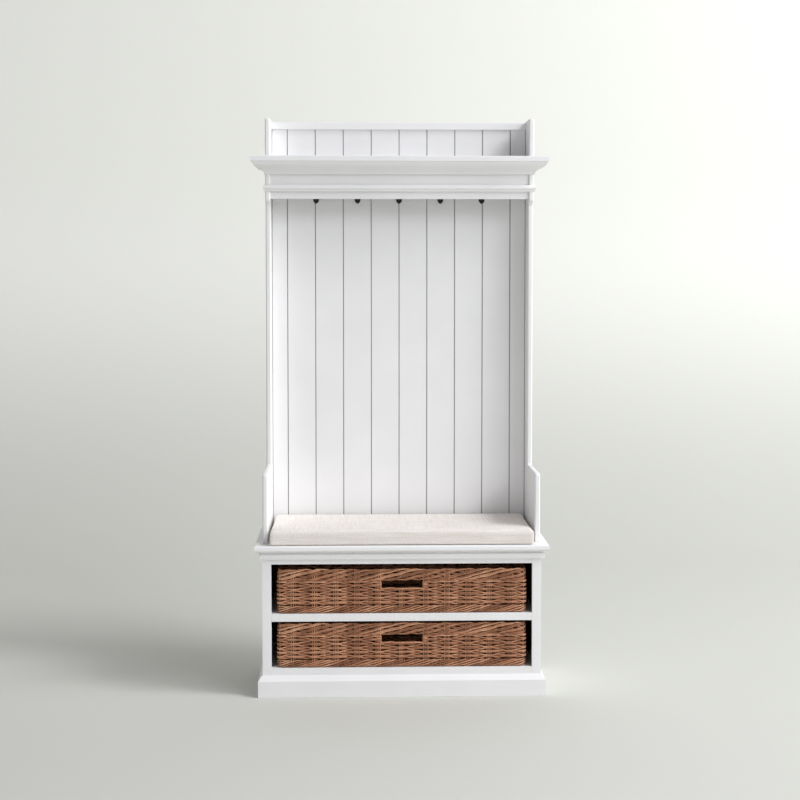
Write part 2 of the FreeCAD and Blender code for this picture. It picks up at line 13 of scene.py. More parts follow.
import bpy
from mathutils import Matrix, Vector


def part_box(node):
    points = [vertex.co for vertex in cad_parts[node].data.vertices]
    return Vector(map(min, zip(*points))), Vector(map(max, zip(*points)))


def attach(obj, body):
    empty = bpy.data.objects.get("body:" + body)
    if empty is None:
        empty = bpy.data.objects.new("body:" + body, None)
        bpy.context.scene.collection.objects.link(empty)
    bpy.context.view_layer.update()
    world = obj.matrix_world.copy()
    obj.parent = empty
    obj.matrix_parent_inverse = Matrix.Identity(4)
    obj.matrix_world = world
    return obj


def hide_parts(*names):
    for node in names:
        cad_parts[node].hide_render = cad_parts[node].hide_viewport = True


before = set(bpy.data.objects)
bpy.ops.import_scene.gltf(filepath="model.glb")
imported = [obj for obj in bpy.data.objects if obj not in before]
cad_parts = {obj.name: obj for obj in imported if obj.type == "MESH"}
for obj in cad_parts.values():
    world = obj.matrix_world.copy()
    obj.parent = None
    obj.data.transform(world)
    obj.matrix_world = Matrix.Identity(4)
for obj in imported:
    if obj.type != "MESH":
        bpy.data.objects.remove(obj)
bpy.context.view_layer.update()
scene = bpy.context.scene
scene.view_settings.view_transform = "Standard"
MM = 0.001

# %% [markdown]
# ## The camera
#
# The unit is seen almost straight on, by someone who stands a little to its left with their eyes
# at 1.44 m. A long lens keeps the uprights nearly parallel. A small downward shift of the film
# keeps them upright while the unit stands low in the view, as in an architect's camera.

# %% Set up the camera
CAMERA_PLACE = (-0.1572, -5.2244, 1.4374)
CAMERA_PITCH_DOWN = 2.5812
CAMERA_YAW_RIGHT = 1.7042
LENS_LENGTH = 66.96
FILM_WIDTH = 36
FILM_SHIFT = -0.07
bpy.ops.object.camera_add(
    location=CAMERA_PLACE,
    rotation=(math.radians(90 - CAMERA_PITCH_DOWN), 0, math.radians(-CAMERA_YAW_RIGHT)),
)
camera = bpy.context.object
camera.data.lens = LENS_LENGTH
camera.data.sensor_width = FILM_WIDTH
camera.data.shift_y = FILM_SHIFT
scene.camera = camera
print("the camera stands", round(camera.location.length, 2), "m from the foot of the unit")

# %% [markdown]
# ## Small helpers
#
# An operator works on everything that is selected, so each step first deselects all and then
# picks its own piece. Colours are written as the hex values a painter would read off a screen and
# turned to linear light once, here.

# %% Helpers for selecting, colours and nodes


def only(piece):
    """Selects this piece alone."""
    bpy.ops.object.select_all(action="DESELECT")
    piece.select_set(True)
    bpy.context.view_layer.objects.active = piece


def pick_edges(piece, wanted):
    """Opens the piece in edit mode with the edges selected whose two ends both pass the test."""
    bpy.ops.object.mode_set(mode="EDIT")
    bpy.ops.mesh.select_mode(type="EDGE")
    bpy.ops.mesh.select_all(action="DESELECT")
    bpy.ops.object.mode_set(mode="OBJECT")
    for edge in piece.data.edges:
        edge.select = all(wanted(piece.data.vertices[v].co) for v in edge.vertices)
    bpy.ops.object.mode_set(mode="EDIT")


def colour(hex_value):
    """A hex colour as linear red, green, blue and alpha."""
    channels = [int(hex_value[i : i + 2], 16) / 255 for i in (1, 3, 5)]
    return [c / 12.92 if c <= 0.04045 else ((c + 0.055) / 1.055) ** 2.4 for c in channels] + [1]


def add(material, kind, inputs=None, stops=(), **settings):
    """Adds a shader node. An input is given a value, or another node's output to link from.

    A colour ramp is given its stops too: a place and a hex colour each, in order.
    """
    node = material.node_tree.nodes.new("ShaderNode" + kind)
    for name, value in settings.items():
        setattr(node, name, value)
    for name, value in (inputs or {}).items():
        if isinstance(value, bpy.types.NodeSocket):
            material.node_tree.links.new(value, node.inputs[name])
        else:
            node.inputs[name].default_value = value
    for _ in stops[2:]:
        node.color_ramp.elements.new(0.5)
    for index, (place, hex_value) in enumerate(stops):
        node.color_ramp.elements[index].position = place
        node.color_ramp.elements[index].color = colour(hex_value)
    return node


def new_material(name):
    """An empty node material and its shader."""
    material = bpy.data.materials.new(name)
    material.use_nodes = True
    return material, material.node_tree.nodes["Principled BSDF"]


def link(material, output, socket):
    """Joins a node's output to a socket."""
    material.node_tree.links.new(output, socket)


print("middle grey reads", [round(v, 2) for v in colour("#808080")])

# %% [markdown]
# ## The studio
#
# The unit stands on a pale sweep: one sheet of paper that runs along the floor and curves up
# behind. It is a plane whose back edge is drawn upwards, with the crease rounded off. The paper's
# colour carries painted shade: it is painted greyer along the floor and whiter up the wall.
# It shows only from its front, so that the unit can be looked at from behind too.

# %% Roll out the sweep
PAPER_WIDTH = 40.0
PAPER_FRONT = -7.0
PAPER_BACK = 4.4
PAPER_RISE = 6.0
PAPER_BEND = 2.2
BEND_STEPS = 40
bpy.ops.object.select_all(action="DESELECT")
bpy.ops.mesh.primitive_plane_add(size=1, location=(0, 0, 0))
sweep = bpy.context.object
sweep.name = "studio_sweep"
for vertex in sweep.data.vertices:
    vertex.co.x *= PAPER_WIDTH
    vertex.co.y = PAPER_FRONT if vertex.co.y < 0 else PAPER_BACK
pick_edges(sweep, lambda place: place.y > 0)
bpy.ops.mesh.extrude_region_move(TRANSFORM_OT_translate={"value": (0, 0, PAPER_RISE)})
pick_edges(sweep, lambda place: place.y > 0 and place.z < PAPER_RISE / 2)
bpy.ops.mesh.bevel(offset=PAPER_BEND, segments=BEND_STEPS)
bpy.ops.object.mode_set(mode="OBJECT")
bpy.ops.object.shade_smooth()
print("sweep of", len(sweep.data.polygons), "faces")

# %% Paint shade into the paper's tone
PAPER_FADE = 1.7
PAPER_FIBRES = 240.0
paper, paper_shader = new_material("matt_backdrop_paper")
paper_place = add(paper, "TexCoord").outputs["Object"]
paper_fibre = add(paper, "TexNoise", {"Vector": paper_place, "Scale": PAPER_FIBRES})
paper_bump = add(paper, "Bump", {"Height": paper_fibre.outputs["Fac"], "Strength": 0.05})
link(paper, paper_bump.outputs["Normal"], paper_shader.inputs["Normal"])
rise = add(paper, "SeparateXYZ", {"Vector": paper_place}).outputs["Z"]
fading = {"Value": rise, "From Max": PAPER_FADE}
painted_shade_fade = add(paper, "MapRange", fading, interpolation_type="SMOOTHSTEP")
# Painted shade: the paper's colour is darker along the floor and turns whiter up to PAPER_FADE.
painted_shade_tones = [(0.0, "#D0D1C9"), (1.0, "#F6F7EF")]
painted_shade_ramp = add(paper, "ValToRGB", {"Fac": painted_shade_fade.outputs["Result"]}, stops=painted_shade_tones)
link(paper, painted_shade_ramp.outputs["Color"], paper_shader.inputs["Base Color"])
paper_shader.inputs["Roughness"].default_value = 0.9
seen_from_behind = add(paper, "NewGeometry").outputs["Backfacing"]
cut_away = add(paper, "BsdfTransparent").outputs["BSDF"]
sides = {0: seen_from_behind, 1: paper_shader.outputs["BSDF"], 2: cut_away}
one_sided = add(paper, "MixShader", sides).outputs["Shader"]
link(paper, one_sided, paper.node_tree.nodes["Material Output"].inputs["Surface"])
sweep.data.materials.append(paper)
print("the paper reaches its wall tone", PAPER_FADE, "m up")

# %% [markdown]
# ## The light
#
# Two soft boxes stand far off to the right, one high and small, one low and large. They draw the
# soft shadows of the pelmet and of the right side on the boards, and lay the unit's own shadow on
# the floor to the left. A weaker one nearer the front lights the pelmet under the cornice. White
# walls all round give a good part of the light, which the world's plain white stands for. A low
# white card in front lifts what the cornice shades, and a box beside the unit evens the backdrop.

# %% Set the lights
MIDDLE = (0, 0, 1.0)
FAR_OFF = 9.2
DAYLIGHT = "#FAFAFF"
WALL_LIGHT = 0.325


def soft_box(name, place, target, size, power):
    """Sets up a square area light that looks at a point."""
    bpy.ops.object.light_add(type="AREA", location=place)
    light = bpy.context.object
    light.name = name
    light.data.shape = "SQUARE"
    light.data.size = size
    light.data.energy = power
    light.data.color = colour(DAYLIGHT)[:3]
    aim = [t - p for t, p in zip(target, place)]
    flat = math.hypot(aim[0], aim[1])
    light.rotation_euler = (math.pi / 2 - math.atan2(-aim[2], flat), 0, math.atan2(-aim[0], aim[1]))


def around_unit(turn, rise):
    """A place far from the unit's middle, turned right from its front and raised, in degrees."""
    turn, rise = math.radians(turn), math.radians(rise)
    level = FAR_OFF * math.cos(rise)
    return level * math.sin(turn), -level * math.cos(turn), MIDDLE[2] + FAR_OFF * math.sin(rise)


soft_box("high_key", around_unit(turn=70, rise=45), MIDDLE, size=2.4, power=380)
soft_box("low_key", around_unit(turn=70, rise=25), MIDDLE, size=6.4, power=405)
soft_box("front_key", around_unit(turn=40, rise=33), MIDDLE, size=3.2, power=160)
soft_box("floor_card", (0, -2.6, 0.12), (0, -0.4, 1.6), size=1.6, power=13)
soft_box("backdrop_light", (-4.6, 0.6, 2.4), (-2.2, 4.4, 1.2), size=2.2, power=16)
world = bpy.data.worlds.new("white_studio_walls")
world.use_nodes = True
world.node_tree.nodes["Background"].inputs["Color"].default_value = colour(DAYLIGHT)
world.node_tree.nodes["Background"].inputs["Strength"].default_value = WALL_LIGHT
scene.world = world

# %% [markdown]
# ## White satin paint
#
# The boards are sprayed with a white satin lacquer over sanded hardwood. Satin gives a broad, soft
# gloss. Close to, the sprayed film has a faint orange peel about 1.5 mm across, and the grain
# under it telegraphs through as shallow lines along each board, drawn here 3 mm apart so that
# they can show. The lines have to run along the board, so there is one paint for each direction.
# The boarding of the back has its own: painted shade greys the bottoms of its V-grooves.

# %% Mix the paint for the three board directions
GRAIN_ACROSS = 1 / 0.003
GRAIN_ALONG = 1 / 0.12
ORANGE_PEEL = 1 / 0.0015
BOARD_FACE, BOARD_REAR = (corner.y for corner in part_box("back_board_05"))
BOARD_THICK = BOARD_REAR - BOARD_FACE
# Painted shade: the grey deep in the V-grooves is shade painted into the colour, by depth.
UNSHADED_WHITE, GROOVE_SHADE_GREY = "#FFFFFF", "#A3A19E"
GROOVE_SHADE_BY_DEPTH = [
    (0.4 * MM / BOARD_THICK, UNSHADED_WHITE),
    (1.6 * MM / BOARD_THICK, GROOVE_SHADE_GREY),
    (0.8, GROOVE_SHADE_GREY),
    (0.9, UNSHADED_WHITE),
]
LACQUER_IOR = 1.48


def satin_paint(axis, grooved=False):
    """White satin lacquer on a board that runs along the axis 0, 1 or 2."""
    kind = "grooved_" if grooved else ""
    material, shader = new_material("white_satin_lacquer_" + kind + "xyz"[axis])
    place = add(material, "TexCoord").outputs["Object"]
    stretch = [GRAIN_ACROSS] * 3
    stretch[axis] = GRAIN_ALONG
    along = add(material, "Mapping", {"Vector": place, "Scale": stretch})
    lines = {"Vector": along.outputs["Vector"], "Scale": 1.0, "Detail": 3.0}
    grain = add(material, "TexNoise", lines).outputs["Fac"]
    skin = {"Vector": place, "Scale": ORANGE_PEEL, "Detail": 1.0}
    peel = add(material, "TexNoise", skin).outputs["Fac"]
    patches = {"Vector": place, "Scale": 5.0, "Detail": 2.0}
    clouds = add(material, "TexNoise", patches).outputs["Fac"]
    whites = [(0.3, "#EFEFEE"), (0.7, "#F3F3F2")]
    tone = add(material, "ValToRGB", {"Fac": clouds}, stops=whites).outputs["Color"]
    gloss = add(material, "MapRange", {"Value": grain, "To Min": 0.36, "To Max": 0.46})
    relief = add(material, "Bump", {"Height": grain, "Strength": 0.1, "Distance": 0.2 * MM})
    over = {"Height": peel, "Strength": 0.08, "Distance": 0.1 * MM}
    film = add(material, "Bump", over | {"Normal": relief.outputs["Normal"]})
    # Painted shade: grooved boards are darkened by depth into their V-grooves.
    if grooved:
        depth = add(material, "SeparateXYZ", {"Vector": place}).outputs["Y"]
        through = {"Value": depth, "From Min": BOARD_FACE, "From Max": BOARD_REAR}
        inward = add(material, "MapRange", through).outputs["Result"]
        painted_groove_shade = add(material, "ValToRGB", {"Fac": inward}, stops=GROOVE_SHADE_BY_DEPTH).outputs["Color"]
        both = {"Factor": 1.0, 6: tone, 7: painted_groove_shade}
        tone = add(material, "Mix", both, data_type="RGBA", blend_type="MULTIPLY").outputs[2]
    link(material, tone, shader.inputs["Base Color"])
    link(material, gloss.outputs["Result"], shader.inputs["Roughness"])
    link(material, film.outputs["Normal"], shader.inputs["Normal"])
    shader.inputs["IOR"].default_value = LACQUER_IOR
    return material


paints = [satin_paint(axis) for axis in range(3)]
boarding_paint = satin_paint(2, grooved=True)
print("paints:", [m.name for m in paints])

# %% [markdown]
# ## The dark inside of the bays
#
# The sides and the back of the two basket bays are painted nearly black inside: painted shade
# for the deep shade in the bays. Their floors are white like the front frame. The painted shade
# follows a wood grain, stays matt and slightly brown, with darker pores 4 mm apart.

# %% Mix the painted shade of the bays
PORES = 1 / 0.004
PORES_ALONG = 12
bay_shade_paint, bay_shade_shader = new_material("black_brown_stained_board")
bay_shade_place = add(bay_shade_paint, "TexCoord").outputs["Object"]
stretched = {"Vector": bay_shade_place, "Scale": (PORES_ALONG, PORES, PORES)}
bay_shade_lines = add(bay_shade_paint, "Mapping", stretched).outputs["Vector"]
streaks = {"Vector": bay_shade_lines, "Scale": 1.0, "Detail": 4.0}
bay_shade_grain = add(bay_shade_paint, "TexNoise", streaks).outputs["Fac"]
# Painted shade: these near-black browns stand for the deep shade inside the bays.
bay_shade_browns = [(0.3, "#33281F"), (0.7, "#4A3B30")]
bay_shade_tone = add(bay_shade_paint, "ValToRGB", {"Fac": bay_shade_grain}, stops=bay_shade_browns)
bay_shade_relief = {"Height": bay_shade_grain, "Strength": 0.2, "Distance": 0.3 * MM}
bay_shade_bump = add(bay_shade_paint, "Bump", bay_shade_relief)
link(bay_shade_paint, bay_shade_tone.outputs["Color"], bay_shade_shader.inputs["Base Color"])
link(bay_shade_paint, bay_shade_bump.outputs["Normal"], bay_shade_shader.inputs["Normal"])
bay_shade_shader.inputs["Roughness"].default_value = 0.62
print("stain:", bay_shade_paint.name)

# %% [markdown]
# ## Easing the boards
#
# A sharp arris never survives sanding and paint: each board edge is rounded by about a
# millimetre, and that thin round is what catches the light along every joint. The CAD boards have
# sharp edges, so each is copied, its loose triangles are merged and their flat faces dissolved,
# and a Bevel modifier eases the edges. Weighted normals keep the big faces flat in the shading.
# Three boards take the painted shade on the side that faces into the bays.

# %% Copy, ease and paint each board
EASE = 0.9 * MM
LOOSE = 0.02 * MM
FLAT_WITHIN = math.radians(0.5)
SHARP_FROM = math.radians(35)
SMOOTH_TO = math.radians(28)
FACING = 0.9
# Painted shade: the faces of these boards that look into the bays take the dark painted shade.
SHADED_SIDES = {
    "cabinet_side_left": (1, 0, 0),
    "cabinet_side_right": (-1, 0, 0),
    "cabinet_back_panel": (0, -1, 0),
}


def eased_board(node_name):
    """A painted copy of a CAD board with its edges eased."""
    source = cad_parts[node_name]
    board = bpy.data.objects.new("eased_" + node_name, source.data.copy())
    scene.collection.objects.link(board)
    only(board)
    bpy.ops.mesh.customdata_custom_splitnormals_clear()
    bpy.ops.object.mode_set(mode="EDIT")
    bpy.ops.mesh.select_all(action="SELECT")
    bpy.ops.mesh.remove_doubles(threshold=LOOSE)
    bpy.ops.mesh.dissolve_limited(angle_limit=FLAT_WITHIN)
    bpy.ops.object.mode_set(mode="OBJECT")
    bevel = board.modifiers.new("eased edges", "BEVEL")
    bevel.width = EASE
    bevel.segments = 2
    bevel.limit_method = "ANGLE"
    bevel.angle_limit = SHARP_FROM
    bpy.ops.object.modifier_apply(modifier=bevel.name)
    bpy.ops.object.shade_smooth_by_angle(angle=SMOOTH_TO)
    normals = board.modifiers.new("flat faces", "WEIGHTED_NORMAL")
    normals.keep_sharp = True
    bpy.ops.object.modifier_apply(modifier=normals.name)
    low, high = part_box(node_name)
    spans = [high[i] - low[i] for i in range(3)]
    paint = paints[spans.index(max(spans))]
    if node_name.startswith("back_board_"):
        paint = boarding_paint
    board.data.materials.clear()
    board.data.materials.append(paint)
    board.data.materials.append(bay_shade_paint)
    inward = SHADED_SIDES.get(node_name, (0, 0, 0))
    for face in board.data.polygons:
        face.material_index = 1 if face.normal.dot(inward) > FACING else 0
    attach(board, "cabinet")
    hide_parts(node_name)
    return board


slots = {name: node.data.materials[0].name for name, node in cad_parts.items()}
boards = [eased_board(name) for name in sorted(slots) if slots[name] == "painted_wood"]
print(len(boards), "boards,", sum(len(board.data.polygons) for board in boards), "faces")

# %% [markdown]
# ## Black coat hooks
#
# The hooks are cast iron with a black wax finish: a little brown in the black, and the pitted skin
# of the sand mould, with grains about 1.2 mm across. Their CAD meshes are fine enough to show as
# they are, so they only get their material.

# %% Finish the hooks
SAND_GRAIN = 1 / 0.0012
iron, iron_shader = new_material("black_waxed_cast_iron")
iron_place = add(iron, "TexCoord").outputs["Object"]
sand = {"Vector": iron_place, "Scale": SAND_GRAIN, "Detail": 3.0}
iron_grain = add(iron, "TexNoise", sand).outputs["Fac"]
blacks = [(0.3, "#0E0D0D"), (0.75, "#1D1B1A")]
iron_tone = add(iron, "ValToRGB", {"Fac": iron_grain}, stops=blacks)
pitting = {"Height": iron_grain, "Strength": 0.25, "Distance": 0.3 * MM}
iron_bump = add(iron, "Bump", pitting)
link(iron, iron_tone.outputs["Color"], iron_shader.inputs["Base Color"])
link(iron, iron_bump.outputs["Normal"], iron_shader.inputs["Normal"])
iron_shader.inputs["Roughness"].default_value = 0.48
hooks = [node for name, node in sorted(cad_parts.items()) if name.startswith("coat_hook_")]
for casting in hooks + [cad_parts["hook_screws"]]:
    casting.data.materials[0] = iron
print(len(hooks), "hooks,", len(hooks[0].data.polygons), "faces each")

# %% [markdown]
# ## Zinc-plated bolts
#
# The bolts that hold the sides to the bench are bright zinc: a metal with a soft, slightly blue
# gloss and faint crystals in it.

# %% Plate the bolts
CRYSTALS = 1 / 0.002
zinc, zinc_shader = new_material("zinc_plated_steel")
zinc_place = add(zinc, "TexCoord").outputs["Object"]
crystals = add(zinc, "TexVoronoi", {"Vector": zinc_place, "Scale": CRYSTALS}).outputs["Distance"]
zinc_gloss = add(zinc, "MapRange", {"Value": crystals, "To Min": 0.28, "To Max": 0.4})
link(zinc, zinc_gloss.outputs["Result"], zinc_shader.inputs["Roughness"])
zinc_shader.inputs["Base Color"].default_value = colour("#B9BDC2")
zinc_shader.inputs["Metallic"].default_value = 1.0
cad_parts["bench_bolts"].data.materials[0] = zinc
print("bolts plated")

# %% [markdown]
# ## Rattan
#
# The baskets are woven from peeled rattan core, smoked brown. No two canes have the same tone, so
# each cane (one island of the mesh) draws its own shade, from pale tan to dark brown. Along a cane
# the smoke is uneven every few centimetres, and fine fibres run lengthwise. The canes have a UV
# map whose one side runs along them, in metres on the longest, and whose other side goes once
# round them.

# %% Mix the rattan
SMOKE = (1 / 0.035, 1.5, 1)
FIBRES = (1 / 0.02, 9, 1)
CANE_SHARE, SMOKE_SHARE = 0.33, 0.67
RATTAN_TONES = [(0.15, "#6A4431"), (0.38, "#A26D4D"), (0.58, "#CE9671"), (0.8, "#F0C09A")]
FIBRE_TONES = [(0.3, "#D8CFC8"), (0.6, "#FFFFFF")]
rattan, rattan_shader = new_material("smoked_rattan_core")
cane_uv = add(rattan, "UVMap", uv_map="UVMap").outputs["UV"]
cane_tone = add(rattan, "NewGeometry").outputs["Random Per Island"]
smoke_place = add(rattan, "Mapping", {"Vector": cane_uv, "Scale": SMOKE}).outputs["Vector"]
clouding = {"Vector": smoke_place, "Scale": 1.0, "Detail": 3.0}
smoke = add(rattan, "TexNoise", clouding).outputs["Fac"]
fibre_place = add(rattan, "Mapping", {"Vector": cane_uv, "Scale": FIBRES}).outputs["Vector"]
streaking = {"Vector": fibre_place, "Scale": 1.0, "Detail": 2.0}
fibre = add(rattan, "TexNoise", streaking).outputs["Fac"]
own = add(rattan, "Math", {0: cane_tone, 1: CANE_SHARE}, operation="MULTIPLY").outputs[0]
shade = add(rattan, "Math", {0: smoke, 1: SMOKE_SHARE, 2: own}, operation="MULTIPLY_ADD")
brown = add(rattan, "ValToRGB", {"Fac": shade.outputs[0]}, stops=RATTAN_TONES)
streak = add(rattan, "ValToRGB", {"Fac": fibre}, stops=FIBRE_TONES)
both = {"Factor": 1.0, 6: brown.outputs["Color"], 7: streak.outputs["Color"]}
cane_colour = add(rattan, "Mix", both, data_type="RGBA", blend_type="MULTIPLY")
cane_bump = add(rattan, "Bump", {"Height": fibre, "Strength": 0.35, "Distance": 0.4 * MM})
link(rattan, cane_colour.outputs[2], rattan_shader.inputs["Base Color"])
link(rattan, cane_bump.outputs["Normal"], rattan_shader.inputs["Normal"])
rattan_shader.inputs["Roughness"].default_value = 0.5
print("rattan:", len(rattan.node_tree.nodes), "nodes")

# %% [markdown]
# ## How the baskets are woven
#
# Round the wall stand groups of three thin stakes, 72.5 mm apart, with one stake in each corner.
# Each row of the wall is twined: two pairs of canes go round together, one pair in front of a
# group and the other behind it. Between two groups they change places: the canes of one pair open
# like a lens and let the other pair through, so that the rows swell there and close the wall. A
# cane is a line whose height and depth follow from how far round it has come. At the corners the
# canes bulge out round the single stake. The rim and the foot are ropes: the rim's canes go in
# pairs and the foot's one by one, slowly up the outside of the wall and down its inside. A curve
# with a round bevel gives each cane, turned to a mesh at once.

# %% The line round the basket's wall
rim_low, rim_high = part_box("basket_upper_border")
CORNER = 24 * MM
CORNER_SPARE = 2 * MM
RIM_THICK = 13 * MM
FLAT_X = (rim_high.x - rim_low.x) / 2 - CORNER - CORNER_SPARE
FLAT_Y = (rim_high.y - rim_low.y) / 2 - CORNER - CORNER_SPARE
MIDDLE_Y = (rim_high.y + rim_low.y) / 2
TURN = (rim_high.x - rim_low.x) / 2 - RIM_THICK / 2 - FLAT_X
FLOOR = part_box("basket_upper_base")[0].z
RIM_TOP = rim_high.z - FLOOR
RIM_FOOT = rim_low.z - FLOOR
ARC = TURN * math.pi / 2
ROUND = 4 * (FLAT_X + FLAT_Y + ARC)
CLOSE = 1e-9


def wall_point(s, out=0.0):
    """The point s metres round the wall from the front's middle, out metres outside the line."""
    s = s % ROUND
    legs = [
        (FLAT_X, (0, -1), (1, 0), (0, -FLAT_Y - TURN)),
        (ARC, None, (FLAT_X, -FLAT_Y), -90),
        (2 * FLAT_Y, (1, 0), (0, 1), (FLAT_X + TURN, -FLAT_Y)),
        (ARC, None, (FLAT_X, FLAT_Y), 0),
        (2 * FLAT_X, (0, 1), (-1, 0), (FLAT_X, FLAT_Y + TURN)),
        (ARC, None, (-FLAT_X, FLAT_Y), 90),
        (2 * FLAT_Y, (-1, 0), (0, -1), (-FLAT_X - TURN, FLAT_Y)),
        (ARC, None, (-FLAT_X, -FLAT_Y), 180),
        (FLAT_X, (0, -1), (1, 0), (-FLAT_X, -FLAT_Y - TURN)),
    ]
    for length, normal, way, start in legs:
        if s <= length + CLOSE:
            break
        s -= length
    if normal is None:
        angle = math.radians(start + 90 * s / ARC)
        x = way[0] + (TURN + out) * math.cos(angle)
        y = way[1] + (TURN + out) * math.sin(angle)
    else:
        x = start[0] + way[0] * s + normal[0] * out
        y = start[1] + way[1] * s + normal[1] * out
    return x, y + MIDDLE_Y


print("one turn round the wall is", round(ROUND, 3), "m")

# %% Where the stakes stand
HOLE_GROUP = 82 * MM
GROUP_PITCH = 72.5 * MM
SIDE_PITCH = 72 * MM
STAKE_STEP = 7.3 * MM
FRONT_GROUPS = 5
QUARTER = FLAT_X + ARC + FLAT_Y
IN_CORNER = FLAT_X + ARC / 2
quarter_groups = [0.0] + [HOLE_GROUP + GROUP_PITCH * i for i in range(FRONT_GROUPS)]
quarter_groups += [IN_CORNER, QUARTER - 1.5 * SIDE_PITCH, QUARTER - 0.5 * SIDE_PITCH]
half_groups = quarter_groups + [2 * QUARTER - s for s in reversed(quarter_groups)]
groups = half_groups + [ROUND - s for s in reversed(half_groups[1:-1])]
corner_places = [IN_CORNER, 2 * QUARTER - IN_CORNER]
corner_places += [ROUND - s for s in corner_places]


def phase(s):
    """How many groups of stakes, in whole and part groups, lie between the front's middle and s."""
    s = s % ROUND
    for i, here in enumerate(groups):
        after = groups[i + 1] if i + 1 < len(groups) else ROUND
        if s <= after:
            return i + (s - here) / (after - here)
    return float(len(groups))


print(len(groups), "groups of stakes")

# %% A cane as a bevelled curve
CANE_SIDES = 1
THINNEST, THICKEST = 0.9, 1.08
WELD = 0.01 * MM
ROUND_TO = math.radians(65)


def canes(name, lines, radius, seed):
    """One mesh with a round cane along each line. A line is (its points, True if it closes)."""
    draw = random.Random(seed)
    data = bpy.data.curves.new(name, "CURVE")
    data.dimensions = "3D"
    data.bevel_depth = radius
    data.bevel_resolution = CANE_SIDES
    data.use_fill_caps = True
    longest = 0.0
    for points, closed in lines:
        spline = data.splines.new("POLY")
        spline.points.add(len(points) - 1)
        spline.use_cyclic_u = closed
        thickness = draw.uniform(THINNEST, THICKEST)
        for place, point in zip(points, spline.points):
            point.co = (*place, 1)
            point.radius = thickness
        longest = max(longest, sum(math.dist(a, b) for a, b in zip(points, points[1:])))
    piece = bpy.data.objects.new(name, data)
    scene.collection.objects.link(piece)
    only(piece)
    bpy.ops.object.convert(target="MESH")
    piece = bpy.context.object
    for loop in piece.data.uv_layers["UVMap"].uv:
        loop.vector.x *= longest
    bpy.ops.object.mode_set(mode="EDIT")
    bpy.ops.mesh.select_all(action="SELECT")
    bpy.ops.mesh.remove_doubles(threshold=WELD)
    bpy.ops.object.mode_set(mode="OBJECT")
    bpy.ops.object.shade_smooth_by_angle(angle=ROUND_TO)
    piece.data.materials.clear()
    piece.data.materials.append(rattan)
    return piece


def sway(draw, size):
    """A slow random wander along a line, the same at its start and end."""
    waves = [(k, draw.uniform(0, math.tau), draw.uniform(0.4, 1)) for k in (3, 7, 13, 23, 37)]
    return lambda s: size * sum(a * math.sin(math.tau * k * s / ROUND + p) for k, p, a in waves) / 2


print("canes have", 4 + 2 * CANE_SIDES, "sides")

# %% Twine the rows of the wall
CANE = 2.15 * MM
ROW_PITCH = 14.6 * MM
FIRST_ROW = 36.5 * MM
ROWS = 6
DEPTH = 3.2 * MM
LENS = 5.3 * MM
SWAP_FROM, SWAP_TO = 0.15, 0.38
PAIR_APART, PAIR_TIGHT = 1.8 * MM, 1.6 * MM
CORNER_BULGE = 5.0 * MM
BULGE_LENGTH = 16 * MM
STEP = 7 * MM
WANDER = 0.8 * MM
HOLE_ROWS = (4, 5)
HOLE_HALF = 71 * MM
HOLE_FOOT = RIM_FOOT - 24 * MM
END_STAKE = HOLE_GROUP - STAKE_STEP
FAN_LENGTH = 30 * MM
FAN_FIRST, FAN_PITCH = 2.4 * MM, 2.75 * MM
TURN_STEPS = 5
TUCK_BACK, TUCK_DEPTH = (6 * MM, 12 * MM), 0.8


def twined(s, pair, high, opens):
    """Depth and height of one cane of a pair that twines round the groups."""
    place = phase(s) + pair
    from_group = abs(place - round(place))
    swap = min(1.0, max(0.0, (from_group - SWAP_FROM) / (SWAP_TO - SWAP_FROM)))
    swap = swap * swap * (3 - 2 * swap)
    depth = DEPTH * math.tanh(3.2 * math.cos(math.pi * place))
    from_corner = min(abs(s % ROUND - corner) for corner in corner_places)
    if depth > 0 and from_corner < BULGE_LENGTH:
        depth += CORNER_BULGE * math.cos(math.pi / 2 * from_corner / BULGE_LENGTH) ** 2
    between = LENS if opens else PAIR_TIGHT
    return depth, high * (PAIR_APART + (between - PAIR_APART) * swap)


def row_line(row, pair, high, draw):
    """The points of one cane of the wall. Rows at the hand hole turn back at its end stakes."""
    wander = sway(draw, WANDER)
    level = FIRST_ROW + ROW_PITCH * row
    opens = (row + pair) % 2 == 0
    if row not in HOLE_ROWS:
        count = round(ROUND / STEP)
        points = []
        for i in range(count):
            s = ROUND * i / count
            depth, lift = twined(s, pair, high, opens)
            points.append((*wall_point(s, depth), FLOOR + level + lift + wander(s)))
        return points, True
    rank = (row - HOLE_ROWS[0]) * 4 + pair * 2 + (high > 0)
    fan = HOLE_FOOT + FAN_FIRST + rank * FAN_PITCH
    span = ROUND - 2 * END_STAKE
    count = round(span / STEP)
    points = []
    for i in range(count + 1):
        s = END_STAKE + span * i / count
        depth, lift = twined(s, pair, high, opens)
        near = min(s - END_STAKE, ROUND - END_STAKE - s) / FAN_LENGTH
        blend = 0.5 + 0.5 * math.cos(math.pi * min(near, 1))
        height = (level + lift + wander(s)) * (1 - blend) + fan * blend
        points.append((*wall_point(s, depth), FLOOR + height))
    for end, way in ((END_STAKE, 1), (ROUND - END_STAKE, -1)):
        depth = twined(end, pair, high, opens)[0]
        turn_back = []
        for step in range(1, TURN_STEPS + 1):
            angle = math.pi * step / TURN_STEPS
            s = end - way * abs(depth) * math.sin(angle)
            turn_back.append((*wall_point(s, depth * math.cos(angle)), FLOOR + fan))
        for back in TUCK_BACK:
            turn_back.append((*wall_point(end + way * back, -depth * TUCK_DEPTH), FLOOR + fan))
        points = list(reversed(turn_back)) + points if way > 0 else points + turn_back
    return points, False


